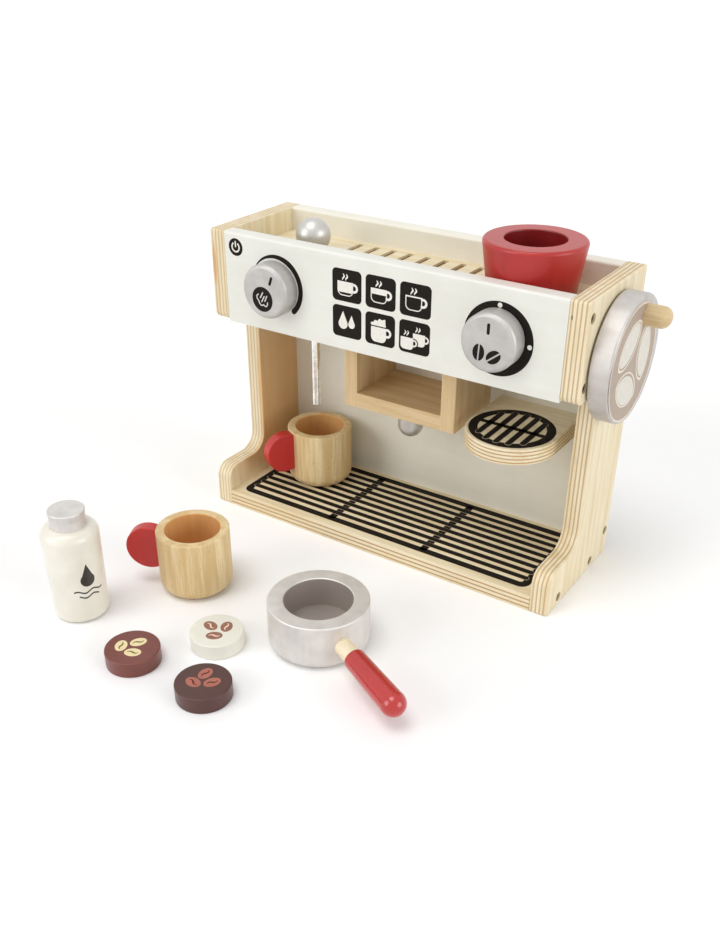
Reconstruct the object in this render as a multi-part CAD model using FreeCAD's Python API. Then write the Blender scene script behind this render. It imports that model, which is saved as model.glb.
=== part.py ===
import FreeCAD, Part
import math
import os

os.makedirs("parts", exist_ok=True)
V = FreeCAD.Vector

# A wooden toy coffee machine with the loose toys that belong to it.
# All lengths are millimetres. X runs to the right, Y to the back and Z up.
# The origin is the middle of the machine's underside, halfway through the depth of its head.

# Cabinet of the machine
machine_width = 265.4
machine_height = 199.0
head_depth = 84.2
head_height = 60.6
foot_reach = 11.2
foot_height = 29.5
column_front_y = -12.0
side_thickness = 12.0
base_thickness = 10.8
front_thickness = 10.8
back_thickness = 10.8
edge_softening = 0.8
rim_softening = 1.6

# Outline of a side panel: radii of its corners
head_corner_radius = 5.0
column_top_radius = 3.0
column_foot_radius = 13.0
toe_radius = 9.0
small_corner_radius = 1.5

# Top deck behind the front panel
tray_depth = 15.3
deck_thickness = 6.0
deck_tongue = 3.0
slot_count = 9
slot_width = 4.4
slot_length = 52.6
slot_pitch = 13.15
slot_row_centre_x = -6.1
slot_corner_radius = 1.0

# Box under the head that the filter holder slides into
bay_width = 64.8
bay_height = 40.2
box_wall = 10.3
box_front_y = -18.8
spout_radius = 8.6
spout_drop = 19.6
spout_y = -1.0
spout_spigot_radius = 4.0
spout_spigot_length = 7.0

# Round-ended shelf under the hopper
hopper_side_x = 80.0
shelf_top_z = 99.3
shelf_thickness = 10.8
shelf_half_width = 29.6
shelf_centre_y = -11.5

# Bean hopper
hopper_y = -2.5
hopper_height = 32.7
hopper_top_radius = 30.9
hopper_foot_radius = 26.1
hopper_bore_radius = 18.2
hopper_neck_radius = 20.6
hopper_rim_radius = 2.0

# Steam wand with its ball knob
wand_x = -76.9
wand_y = -4.0
wand_radius = 3.2
wand_below_head = 65.1
wand_end_radius = 0.7
ball_radius = 11.5
ball_above_deck = 10.2
ball_socket_depth = 9.0
stop_collar_radius = 6.0
stop_collar_height = 6.0
stop_collar_above_head = 1.1

# Turning knobs on the front panel
knob_x = 79.5
knob_below_top = 30.0
knob_radius = 17.5
knob_depth = 12.5
knob_front_radius = 2.5
spindle_radius = 4.0
spindle_socket = 8.0
washer_radius = 7.5
washer_thickness = 1.2

# Crank wheel on the right side panel
wheel_y = 1.5
wheel_below_top = 43.3
wheel_radius = 38.3
wheel_thickness = 12.8
wheel_gap = 1.0
wheel_edge_radius = 1.6
wheel_boss_radius = 9.0
axle_radius = 5.0
axle_socket = 8.0
crank_washer_radius = 10.0
crank_washer_thickness = 1.5
peg_offset = 26.2
peg_angle = 71.0
peg_radius = 6.4
peg_length = 14.8
peg_end_radius = 5.4
peg_spigot_radius = 4.4
peg_spigot_length = 7.0

# Screws
screw_head_radius = 3.0
screw_head_height = 2.0
screw_shank_radius = 1.5
screw_length = 24.0
screw_sink = 1.2
screw_hole_radius = 3.2
panel_screw_inset = 10.0
back_screw_low_z = 18.0
back_screw_below_top = 19.0
base_screw_front_y = -35.8
base_screw_back_y = 14.5
short_screw_length = 10.0
shelf_screw_spread = 36.0
box_screw_spread = 30.0

# Clearances between pieces that move on each other
running_clearance = 0.08
face_clearance = 0.3

# Filter holder
holder_x = 28.7
holder_y = -150.3
holder_angle = -27.2
holder_radius = 30.7
holder_height = 30.5
holder_cavity_radius = 20.7
holder_floor = 11.0
holder_bottom_radius = 7.0
holder_rim_radius = 0.9
handle_height = 16.0
dowel_radius = 5.4
dowel_socket = 7.0
dowel_showing = 12.8
grip_length = 50.5
grip_start_radius = 6.7
grip_radius = 7.5
grip_end_radius = 1.0
grip_socket = 16.0

# Cups
cup_radius = 23.4
cup_height = 42.6
cup_bore_radius = 17.6
cup_floor = 6.0
cup_bottom_radius = 8.5
cup_rim_radius = 0.8
cup_handle_radius = 14.8
cup_handle_reach = 29.0
cup_handle_centre_z = 27.6
cup_handle_thickness = 8.4
cup_handle_inset = 2.0
cup_handle_softening = 0.8
tray_cup_x = -79.8
tray_cup_y = 2.7
tray_cup_angle = -118.0
table_cup_x = -72.4
table_cup_y = -146.2
table_cup_angle = -153.0

# Milk bottle
bottle_x = -113.6
bottle_y = -208.2
bottle_bottom_radius = 16.8
bottle_shoulder_radius = 17.6
bottle_body_height = 63.0
bottle_shoulder_height = 7.0
bottle_foot_radius = 4.0
cap_radius = 11.2
cap_waist = 0.5
cap_height = 10.4
cap_spigot_radius = 5.0
cap_spigot_length = 6.0

# Coffee pucks
puck_radius = 16.3
puck_height = 10.0
puck_edge_radius = 0.8
puck_places = {
    "coffee_puck_brown": (-50.2, -227.3),
    "coffee_puck_dark": (4.4, -227.4),
    "coffee_puck_white": (-19.8, -187.5),
}

# Places worked out from the sizes above
half_width = machine_width / 2
inner_half_width = half_width - side_thickness
head_front_y = -head_depth / 2
back_y = head_depth / 2
foot_front_y = head_front_y - foot_reach
front_inner_y = head_front_y + front_thickness
back_inner_y = back_y - back_thickness
head_bottom_z = machine_height - head_height
knob_z = machine_height - knob_below_top
wheel_z = machine_height - wheel_below_top
back_screw_high_z = machine_height - back_screw_below_top
wand_bottom_z = head_bottom_z - wand_below_head
deck_top_z = machine_height - tray_depth
deck_bottom_z = deck_top_z - deck_thickness
bay_top_z = head_bottom_z
bay_floor_z = bay_top_z - bay_height
box_bottom_z = bay_floor_z - box_wall
box_top_z = bay_top_z + box_wall
box_half_width = bay_width / 2 + box_wall
wheel_back_x = half_width + wheel_gap
wheel_front_x = wheel_back_x + wheel_thickness


def block(x0, x1, y0, y1, z0, z1):
    """A box given by its two faces along each axis."""
    return Part.makeBox(x1 - x0, y1 - y0, z1 - z0, V(x0, y0, z0))


def rod(radius, start, direction, length):
    """A round bar from a point along a direction."""
    return Part.makeCylinder(radius, length, start, direction)


def outline_face(corners):
    """A flat face in the YZ plane from corners (y, z, radius), each rounded by a tangent arc."""
    count = len(corners)
    edges = []
    previous_end = None
    first_start = None
    for index in range(count):
        before = V(0, *corners[index - 1][:2])
        here = V(0, *corners[index][:2])
        after = V(0, *corners[(index + 1) % count][:2])
        radius = corners[index][2]
        to_before = (before - here).normalize()
        to_after = (after - here).normalize()
        half_angle = to_before.getAngle(to_after) / 2
        reach = radius / math.tan(half_angle)
        arc_start = here + to_before * reach
        arc_end = here + to_after * reach
        bisector = (to_before + to_after).normalize()
        centre = here + bisector * (radius / math.sin(half_angle))
        arc_middle = centre - bisector * radius
        if previous_end is None:
            first_start = arc_start
        else:
            edges.append(Part.makeLine(previous_end, arc_start))
        edges.append(Part.Arc(arc_start, arc_middle, arc_end).toShape())
        previous_end = arc_end
    edges.append(Part.makeLine(previous_end, first_start))
    return Part.Face(Part.Wire(edges))


def turned(points, place=V(0, 0, 0)):
    """A lathe-turned solid about Z from profile points (radius, z)."""
    vertices = [V(radius, 0, z) for radius, z in points]
    profile = Part.Face(Part.makePolygon(vertices + [vertices[0]]))
    solid = profile.revolve(V(0, 0, 0), V(0, 0, 1), 360)
    solid.translate(place)
    return solid


def soften_edges(solid, radius, keep):
    """Round the edges for which keep(edge) is true."""
    chosen = [edge for edge in solid.Edges if keep(edge)]
    return solid.makeFillet(radius, chosen)


def round_edge_at(z, radius):
    """Test for a full circle edge of one radius at one height."""
    def keep(edge):
        curve = edge.Curve
        if not isinstance(curve, Part.Circle):
            return False
        return abs(curve.Radius - radius) < 0.01 and abs(curve.Center.z - z) < 0.01
    return keep


def turn_z_to(direction, solid):
    """Turn a solid made along +Z so that it points along a direction."""
    rotation = FreeCAD.Rotation(V(0, 0, 1), direction)
    solid.Placement = FreeCAD.Placement(V(0, 0, 0), rotation).multiply(solid.Placement)
    return solid


def screw(head_face, direction, length):
    """A flat-headed wood screw whose head face lies at a point; the shank runs along direction."""
    head = rod(screw_head_radius, head_face, direction, screw_head_height)
    slot_half = 0.4
    slot_deep = 0.6
    slot = block(-screw_head_radius, screw_head_radius, -slot_half, slot_half, 0, slot_deep)
    cross = block(-slot_half, slot_half, -screw_head_radius, screw_head_radius, 0, slot_deep)
    recess = turn_z_to(direction, slot.fuse(cross))
    recess.translate(head_face)
    shank = rod(screw_shank_radius, head_face, direction, length)
    return head.fuse(shank).cut(recess).removeSplitter()


def screw_seat(face_point, direction, length):
    """The hole for a sunk screw: a round recess at the face and a tight hole beyond it."""
    recess = rod(screw_hole_radius, face_point, direction, screw_sink + screw_head_height)
    pilot = rod(screw_shank_radius, face_point, direction, screw_sink + length)
    return recess.fuse(pilot)


def side_screw_places():
    """Height and depth of each screw through a side panel into the boards between the panels."""
    front_middle_y = head_front_y + front_thickness / 2
    back_middle_y = back_y - back_thickness / 2
    base_middle_z = base_thickness / 2
    return [
        (front_middle_y, machine_height - panel_screw_inset),
        (front_middle_y, head_bottom_z + panel_screw_inset),
        (back_middle_y, back_screw_high_z),
        (back_middle_y, back_screw_low_z),
        (base_screw_front_y, base_middle_z),
        (base_screw_back_y, base_middle_z),
    ]


def side_screw_seats():
    """All the screw holes that run inwards from the outer faces of both side panels."""
    seats = []
    for side in (-1, 1):
        for y, z in side_screw_places():
            seats.append(screw_seat(V(side * half_width, y, z), V(-side, 0, 0), screw_length))
    return Part.makeCompound(seats)


def back_screw_places():
    """Screws through the back panel: a pair into the shelf and a pair into each wall of the box."""
    shelf_z = shelf_top_z - shelf_thickness / 2
    box_z = (box_bottom_z + box_top_z) / 2
    wall_x = bay_width / 2 + box_wall / 2
    places = [(hopper_side_x + side * shelf_screw_spread / 2, shelf_z) for side in (-1, 1)]
    for side in (-1, 1):
        for end in (-1, 1):
            places.append((side * wall_x, box_z + end * box_screw_spread / 2))
    return places


def back_screw_seats():
    """The screw holes that run forwards from the back panel's rear face."""
    seats = [screw_seat(V(x, back_y, z), V(0, -1, 0), screw_length) for x, z in back_screw_places()]
    return Part.makeCompound(seats)


def base_board():
    board = block(-inner_half_width, inner_half_width, foot_front_y, back_y, 0, base_thickness)
    board = soften_edges(board, edge_softening, along_x_at(foot_front_y))
    return board.cut(side_screw_seats())


def along_x_at(y):
    """Test for straight edges along X at one depth."""
    def keep(edge):
        box = edge.BoundBox
        return box.XLength > 1 and abs(box.YMin - y) < 0.01 and abs(box.YMax - y) < 0.01
    return keep


def side_panel(side):
    """The panel of one side: a head, a column and a foot cut from one board."""
    corners = [
        (back_y, 0, small_corner_radius),
        (back_y, machine_height, small_corner_radius),
        (head_front_y, machine_height, small_corner_radius),
        (head_front_y, head_bottom_z, head_corner_radius),
        (column_front_y, head_bottom_z, column_top_radius),
        (column_front_y, foot_height, column_foot_radius),
        (foot_front_y, foot_height, toe_radius),
        (foot_front_y, 0, small_corner_radius),
    ]
    panel = outline_face(corners).extrude(V(side_thickness, 0, 0))
    panel = soften_edges(panel, edge_softening, lambda edge: edge.BoundBox.XLength < 0.01)
    start_x = -half_width if side < 0 else inner_half_width
    panel.translate(V(start_x, 0, 0))
    groove_x = sorted((side * inner_half_width, side * (inner_half_width + deck_tongue)))
    groove = block(*groove_x, front_inner_y, back_inner_y, deck_bottom_z, deck_top_z)
    panel = panel.cut(groove).cut(side_screw_seats())
    if side > 0:
        bore = axle_radius + running_clearance
        panel = panel.cut(rod(bore, V(0, wheel_y, wheel_z), V(1, 0, 0), half_width * 2))
    return panel


def front_panel():
    """The white panel across the head, bored for the two knob spindles."""
    panel = block(-inner_half_width, inner_half_width, head_front_y, front_inner_y,
                  head_bottom_z, machine_height)
    panel = soften_edges(panel, rim_softening, lambda edge: edge.BoundBox.XLength > 1
                         and edge.BoundBox.ZMin > head_bottom_z + 1)
    for side in (-1, 1):
        start = V(side * knob_x, head_front_y - 1, knob_z)
        bore = rod(spindle_radius + running_clearance, start, V(0, 1, 0), front_thickness + 2)
        panel = panel.cut(bore)
    return panel.cut(side_screw_seats())


def back_panel():
    """The white panel across the back, standing on the base board."""
    panel = block(-inner_half_width, inner_half_width, back_inner_y, back_y,
                  base_thickness, machine_height)
    panel = soften_edges(panel, rim_softening, lambda edge: edge.BoundBox.XLength > 1
                         and edge.BoundBox.ZMin > base_thickness + 1)
    return panel.cut(side_screw_seats()).cut(back_screw_seats())


def top_deck():
    """The slotted board that makes the tray, with its ends let into the side panels."""
    reach = inner_half_width + deck_tongue
    deck = block(-reach, reach, front_inner_y, back_inner_y, deck_bottom_z, deck_top_z)
    first_x = slot_row_centre_x - slot_pitch * (slot_count - 1) / 2
    for index in range(slot_count):
        x = first_x + slot_pitch * index
        slot = block(x - slot_width / 2, x + slot_width / 2, -slot_length / 2, slot_length / 2,
                     deck_bottom_z - 1, deck_top_z + 1)
        slot = soften_edges(slot, slot_corner_radius, lambda edge: edge.BoundBox.ZLength > 1)
        deck = deck.cut(slot)
    hopper_hole = rod(hopper_neck_radius, V(hopper_side_x, hopper_y, deck_bottom_z - 1), V(0, 0, 1),
                      deck_thickness + 2)
    guide_radius = wand_radius + running_clearance
    seat_radius = math.sqrt((ball_radius + face_clearance) ** 2 - ball_above_deck ** 2)
    seat_depth = seat_radius - guide_radius
    guide = turned([(0, -deck_thickness - 1), (guide_radius, -deck_thickness - 1),
                    (guide_radius, -seat_depth), (seat_radius, 0), (seat_radius, 1), (0, 1)],
                   V(wand_x, wand_y, deck_top_z))
    return deck.cut(hopper_hole).cut(guide)


def box_wall_board(side):
    x = sorted((side * bay_width / 2, side * box_half_width))
    wall = block(*x, box_front_y, back_inner_y, box_bottom_z, box_top_z)
    wall = soften_edges(wall, edge_softening, lambda edge: edge.BoundBox.ZLength > 1
                        and edge.BoundBox.YMax < box_front_y + 1
                        and abs(edge.BoundBox.XMax - side * box_half_width) < 0.01)
    return wall.cut(back_screw_seats())


def box_floor_board():
    floor = block(-bay_width / 2, bay_width / 2, box_front_y, back_inner_y, box_bottom_z, bay_floor_z)
    hole = rod(spout_spigot_radius, V(0, spout_y, box_bottom_z), V(0, 0, 1), spout_spigot_length)
    return floor.cut(hole)


def box_top_board():
    return block(-bay_width / 2, bay_width / 2, box_front_y, back_inner_y, bay_top_z, box_top_z)


def coffee_spout():
    """A turned round-nosed peg glued under the box."""
    straight = spout_drop - spout_radius
    place = V(0, spout_y, box_bottom_z)
    body = rod(spout_radius, place, V(0, 0, -1), straight)
    nose = Part.makeSphere(spout_radius, place - V(0, 0, straight))
    body = body.fuse(nose).removeSplitter()
    body = body.fuse(rod(spout_spigot_radius, place, V(0, 0, 1), spout_spigot_length))
    return body


def grinder_shelf():
    """A tongue of board with a half-round end, screwed to the back panel."""
    bottom_z = shelf_top_z - shelf_thickness
    left = hopper_side_x - shelf_half_width
    right = hopper_side_x + shelf_half_width
    tongue = block(left, right, shelf_centre_y, back_inner_y, bottom_z, shelf_top_z)
    nose = rod(shelf_half_width, V(hopper_side_x, shelf_centre_y, bottom_z), V(0, 0, 1), shelf_thickness)
    shelf = tongue.fuse(nose).removeSplitter()
    shelf = soften_edges(shelf, edge_softening, lambda edge: edge.BoundBox.ZLength < 0.01
                         and edge.BoundBox.YMin < back_inner_y - 1)
    return shelf.cut(back_screw_seats())


def bean_hopper():
    """A turned cone with a straight bore; its neck fills the hole in the deck."""
    hopper = turned([
        (hopper_bore_radius, -deck_thickness), (hopper_neck_radius, -deck_thickness),
        (hopper_neck_radius, 0), (hopper_foot_radius, 0),
        (hopper_top_radius, hopper_height), (hopper_bore_radius, hopper_height),
    ])
    hopper = soften_edges(hopper, hopper_rim_radius, round_edge_at(hopper_height, hopper_top_radius))
    hopper = soften_edges(hopper, edge_softening, round_edge_at(hopper_height, hopper_bore_radius))
    hopper.translate(V(hopper_side_x, hopper_y, deck_top_z))
    return hopper


def steam_wand():
    """The metal rod, its ball knob and the collar that stops it being pulled out."""
    ball_z = deck_top_z + ball_above_deck
    rod_top_z = ball_z - ball_radius + ball_socket_depth
    bar = rod(wand_radius, V(wand_x, wand_y, wand_bottom_z), V(0, 0, 1), rod_top_z - wand_bottom_z)
    ball = Part.makeSphere(ball_radius, V(wand_x, wand_y, ball_z)).cut(bar)
    collar = rod(stop_collar_radius, V(wand_x, wand_y, head_bottom_z + stop_collar_above_head), V(0, 0, 1),
                 stop_collar_height)
    collar = soften_edges(collar, edge_softening, lambda edge: edge.BoundBox.ZLength < 0.01).cut(bar)
    bar = soften_edges(bar, wand_end_radius, lambda edge: edge.BoundBox.ZMax < wand_bottom_z + 1)
    return {"steam_wand_rod": bar, "steam_wand_ball": ball, "steam_wand_stop_collar": collar}


def front_knob(name, side):
    """A knob on a spindle through the front panel, held inside by a washer and a screw."""
    centre = V(side * knob_x, head_front_y - face_clearance, knob_z)
    inside = V(0, 1, 0)
    knob = rod(knob_radius, centre, -inside, knob_depth)
    front_y = centre.y - knob_depth
    knob = soften_edges(knob, knob_front_radius, lambda edge: edge.BoundBox.YMax < front_y + 0.01)
    knob = soften_edges(knob, edge_softening, lambda edge: edge.BoundBox.YMin > centre.y - 0.01)
    spindle_start = centre - inside * spindle_socket
    spindle_end_y = front_inner_y + face_clearance
    spindle = rod(spindle_radius, spindle_start, inside, spindle_end_y - spindle_start.y)
    knob = knob.cut(spindle)
    washer_face = V(centre.x, spindle_end_y, knob_z)
    washer = rod(washer_radius, washer_face, inside, washer_thickness)
    head_face = washer_face + inside * (washer_thickness + screw_head_height)
    fixing = screw(head_face, -inside, screw_head_height + washer_thickness + short_screw_length)
    hole = rod(screw_shank_radius, head_face, -inside,
               screw_head_height + washer_thickness + short_screw_length)
    return {
        name: knob,
        name + "_spindle": spindle.cut(hole),
        name + "_washer": washer.cut(hole),
        name + "_screw": fixing,
    }


def crank():
    """The crank wheel with its peg, turning on an axle through the right side panel."""
    outward = V(1, 0, 0)
    centre = V(wheel_back_x, wheel_y, wheel_z)
    wheel = rod(wheel_radius, centre, outward, wheel_thickness)
    wheel = soften_edges(wheel, wheel_edge_radius, lambda edge: edge.BoundBox.XMin > wheel_front_x - 0.01)
    wheel = soften_edges(wheel, edge_softening, lambda edge: edge.BoundBox.XMax < wheel_back_x + 0.01)
    boss_length = wheel_gap - face_clearance
    wheel = wheel.fuse(rod(wheel_boss_radius, centre, -outward, boss_length))
    axle_inner_x = inner_half_width - face_clearance
    axle = rod(axle_radius, V(axle_inner_x, wheel_y, wheel_z), outward,
               wheel_back_x + axle_socket - axle_inner_x)
    angle = math.radians(peg_angle)
    peg_y = wheel_y + peg_offset * math.cos(angle)
    peg_z = wheel_z + peg_offset * math.sin(angle)
    peg_foot = V(wheel_front_x, peg_y, peg_z)
    grip = rod(peg_radius, peg_foot, outward, peg_length)
    grip = soften_edges(grip, peg_end_radius,
                        lambda edge: edge.BoundBox.XMin > wheel_front_x + peg_length - 0.01)
    spigot = rod(peg_spigot_radius, peg_foot, -outward, peg_spigot_length)
    wheel = wheel.cut(axle).cut(spigot)
    washer_face = V(axle_inner_x, wheel_y, wheel_z)
    washer = rod(crank_washer_radius, washer_face, -outward, crank_washer_thickness)
    head_face = washer_face - outward * (crank_washer_thickness + screw_head_height)
    length = screw_head_height + crank_washer_thickness + short_screw_length
    hole = rod(screw_shank_radius, head_face, outward, length)
    return {
        "crank_wheel": wheel,
        "crank_peg": grip.fuse(spigot),
        "crank_axle": axle.cut(hole),
        "crank_washer": washer.cut(hole),
        "crank_screw": screw(head_face, outward, length),
    }


def side_screws(side):
    """The sunk screws of one side panel, as one group."""
    group = []
    for y, z in side_screw_places():
        head = V(side * (half_width - screw_sink), y, z)
        group.append(screw(head, V(-side, 0, 0), screw_length))
    return Part.makeCompound(group)


def back_screws():
    """The sunk screws of the back panel, as one group."""
    group = [screw(V(x, back_y - screw_sink, z), V(0, -1, 0), screw_length)
             for x, z in back_screw_places()]
    return Part.makeCompound(group)


def grip_blank():
    """The turned grip about Z: it widens from the dowel to a half-round end."""
    taper = grip_length - grip_radius
    corners = [V(0, 0, 0), V(grip_start_radius, 0, 0), V(grip_radius, 0, taper), V(0, 0, grip_length)]
    diagonal = grip_radius * math.sqrt(0.5)
    edges = [
        Part.makeLine(corners[0], corners[1]),
        Part.makeLine(corners[1], corners[2]),
        Part.Arc(corners[2], V(diagonal, 0, taper + diagonal), corners[3]).toShape(),
        Part.makeLine(corners[3], corners[0]),
    ]
    grip = Part.Face(Part.Wire(edges)).revolve(V(0, 0, 0), V(0, 0, 1), 360)
    return soften_edges(grip, grip_end_radius, lambda edge: edge.BoundBox.ZMax < 0.01)


def filter_holder():
    """A turned cup on a dowel with a round-ended grip."""
    cup = turned([(0, 0), (holder_radius, 0), (holder_radius, holder_height),
                  (holder_cavity_radius, holder_height), (holder_cavity_radius, holder_floor),
                  (0, holder_floor)])
    cup = soften_edges(cup, holder_bottom_radius, round_edge_at(0, holder_radius))
    cup = soften_edges(cup, holder_rim_radius, round_edge_at(holder_height, holder_radius))
    cup = soften_edges(cup, holder_rim_radius, round_edge_at(holder_height, holder_cavity_radius))
    outward = V(1, 0, 0)
    socket_start = V(holder_radius - dowel_socket, 0, handle_height)
    grip_start = V(holder_radius + dowel_showing, 0, handle_height)
    dowel_length = dowel_socket + dowel_showing + grip_socket
    dowel = rod(dowel_radius, socket_start, outward, dowel_length)
    grip = turn_z_to(outward, grip_blank())
    grip.translate(grip_start)
    pieces = {
        "filter_holder_cup": cup.cut(dowel),
        "filter_holder_dowel": dowel,
        "filter_holder_grip": grip.cut(dowel),
    }
    for piece in pieces.values():
        stand(piece, holder_x, holder_y, 0, holder_angle)
    return pieces


def stand(piece, x, y, z, angle):
    """Turn a piece about Z and stand it at a place."""
    piece.rotate(V(0, 0, 0), V(0, 0, 1), angle)
    piece.translate(V(x, y, z))


def toy_cup(name, x, y, z, angle):
    """A turned cup with a disc handle let into its wall."""
    cup = turned([(0, 0), (cup_radius, 0), (cup_radius, cup_height), (cup_bore_radius, cup_height),
                  (cup_bore_radius, cup_floor), (0, cup_floor)])
    cup = soften_edges(cup, cup_bottom_radius, round_edge_at(0, cup_radius))
    cup = soften_edges(cup, cup_rim_radius, round_edge_at(cup_height, cup_radius))
    cup = soften_edges(cup, cup_rim_radius, round_edge_at(cup_height, cup_bore_radius))
    centre = V(cup_handle_reach, -cup_handle_thickness / 2, cup_handle_centre_z)
    disc = rod(cup_handle_radius, centre, V(0, 1, 0), cup_handle_thickness)
    disc = soften_edges(disc, cup_handle_softening, lambda edge: edge.BoundBox.YLength < 0.01)
    inset_x = cup_radius - cup_handle_inset
    disc = disc.cut(block(-cup_radius, inset_x, -cup_radius, cup_radius, 0, cup_height * 2))
    cup = cup.cut(disc)
    stand(cup, x, y, z, angle)
    stand(disc, x, y, z, angle)
    return {name: cup, name + "_handle": disc}


def milk_bottle():
    """A turned bottle with a turned cap glued into its neck."""
    top = bottle_body_height
    shoulder = top - bottle_shoulder_height
    body = turned([(0, 0), (bottle_bottom_radius, 0), (bottle_shoulder_radius, shoulder),
                   (bottle_shoulder_radius, top), (0, top)])
    body = soften_edges(body, bottle_foot_radius, round_edge_at(0, bottle_bottom_radius))
    body = soften_edges(body, bottle_shoulder_height - 0.5, round_edge_at(top, bottle_shoulder_radius))
    cap_top = top + cap_height
    middle = top + cap_height / 2
    cap = turned([(0, top), (cap_radius, top), (cap_radius - cap_waist, middle), (cap_radius, cap_top),
                  (0, cap_top)])
    cap = soften_edges(cap, edge_softening, round_edge_at(cap_top, cap_radius))
    spigot = rod(cap_spigot_radius, V(0, 0, top - cap_spigot_length), V(0, 0, 1), cap_spigot_length)
    body = body.cut(spigot)
    cap = cap.fuse(spigot)
    stand(body, bottle_x, bottle_y, 0, 0)
    stand(cap, bottle_x, bottle_y, 0, 0)
    return {"milk_bottle": body, "milk_bottle_cap": cap}


def coffee_pucks():
    pieces = {}
    for name, (x, y) in puck_places.items():
        puck = rod(puck_radius, V(x, y, 0), V(0, 0, 1), puck_height)
        puck = soften_edges(puck, puck_edge_radius, lambda edge: edge.BoundBox.ZLength < 0.01)
        pieces[name] = puck
    return pieces


nodes = {
    "base_board": base_board(),
    "left_side_panel": side_panel(-1),
    "right_side_panel": side_panel(1),
    "front_panel": front_panel(),
    "back_panel": back_panel(),
    "top_deck": top_deck(),
    "group_box_left_wall": box_wall_board(-1),
    "group_box_right_wall": box_wall_board(1),
    "group_box_floor": box_floor_board(),
    "group_box_top": box_top_board(),
    "coffee_spout": coffee_spout(),
    "grinder_shelf": grinder_shelf(),
    "bean_hopper": bean_hopper(),
    "left_panel_screws": side_screws(-1),
    "right_panel_screws": side_screws(1),
    "back_panel_screws": back_screws(),
}
nodes.update(steam_wand())
nodes.update(front_knob("steam_knob", -1))
nodes.update(front_knob("bean_knob", 1))
nodes.update(crank())
nodes.update(filter_holder())
nodes.update(toy_cup("tray_cup", tray_cup_x, tray_cup_y, base_thickness, tray_cup_angle))
nodes.update(toy_cup("table_cup", table_cup_x, table_cup_y, 0, table_cup_angle))
nodes.update(milk_bottle())
nodes.update(coffee_pucks())

for name, shape in nodes.items():
    shape.exportStep("parts/" + name + ".step")
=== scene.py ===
import math

import bmesh
import bpy
from mathutils import Matrix, Vector


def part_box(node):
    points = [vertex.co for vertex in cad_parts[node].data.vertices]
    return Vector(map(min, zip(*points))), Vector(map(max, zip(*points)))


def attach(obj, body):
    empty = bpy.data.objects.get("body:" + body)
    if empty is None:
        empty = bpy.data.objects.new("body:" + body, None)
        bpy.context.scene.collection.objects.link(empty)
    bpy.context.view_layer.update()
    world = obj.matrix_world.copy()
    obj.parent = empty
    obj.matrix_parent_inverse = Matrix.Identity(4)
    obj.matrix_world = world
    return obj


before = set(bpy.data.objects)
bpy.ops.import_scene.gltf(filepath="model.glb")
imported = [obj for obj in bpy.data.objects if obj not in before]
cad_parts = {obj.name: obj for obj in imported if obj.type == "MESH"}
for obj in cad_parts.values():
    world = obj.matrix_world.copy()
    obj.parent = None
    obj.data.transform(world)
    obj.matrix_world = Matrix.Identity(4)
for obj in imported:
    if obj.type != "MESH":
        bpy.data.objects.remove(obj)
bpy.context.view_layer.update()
mm = 0.001

# Left and right side panels: nine-ply birch board, 12 mm thick, sawn to a head, a column and a foot.
# The faces are pale veneer whose grain stands upright, and the sawn edges show the plies.
# Clear lacquered; sunk screws hold them to the boards that lie between them.


class Wire:
    """One output of a node. Sums and comparisons on wires add Math nodes to the same tree."""

    def __init__(self, tree, socket):
        self.tree = tree
        self.socket = socket

    def math(self, operation, first, second=0.0):
        return self.tree.node("ShaderNodeMath", {"operation": operation}, {0: first, 1: second})

    def __getitem__(self, name):
        return Wire(self.tree, self.socket.node.outputs[name])

    def __add__(self, other):
        return self.math("ADD", self, other)

    def __sub__(self, other):
        return self.math("SUBTRACT", self, other)

    def __rsub__(self, other):
        return self.math("SUBTRACT", other, self)

    def __mul__(self, other):
        return self.math("MULTIPLY", self, other)

    def __truediv__(self, other):
        return self.math("DIVIDE", self, other)

    def __pow__(self, other):
        return self.math("POWER", self, other)

    def __lt__(self, other):
        return self.math("LESS_THAN", self, other)

    def __gt__(self, other):
        return self.math("GREATER_THAN", self, other)

    def __abs__(self):
        return self.math("ABSOLUTE", self)

    __radd__ = __add__
    __rmul__ = __mul__


class Tree:
    """A node tree being built; node() adds any kind of node."""

    def __init__(self, tree):
        self.tree = tree

    def node(self, kind, settings=None, sockets=None, out=0):
        """Add a node, apply its settings, then set or link its sockets; gives one output as a wire."""
        made = self.tree.nodes.new(kind)
        for name, value in (settings or {}).items():
            setattr(made, name, value)
        for name, value in (sockets or {}).items():
            for item in value if isinstance(value, list) else [value]:
                if isinstance(item, Wire):
                    self.tree.links.new(item.socket, made.inputs[name])
                else:
                    made.inputs[name].default_value = item
        return Wire(self, made.outputs[out]) if made.outputs else None


def srgb(red, green, blue):
    """A colour as the eye reads it, 0 to 255, as the linear values that a shader takes."""
    def linear(value):
        share = value / 255
        return share / 12.92 if share < 0.04045 else ((share + 0.055) / 1.055) ** 2.4
    return (linear(red), linear(green), linear(blue), 1.0)


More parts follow.
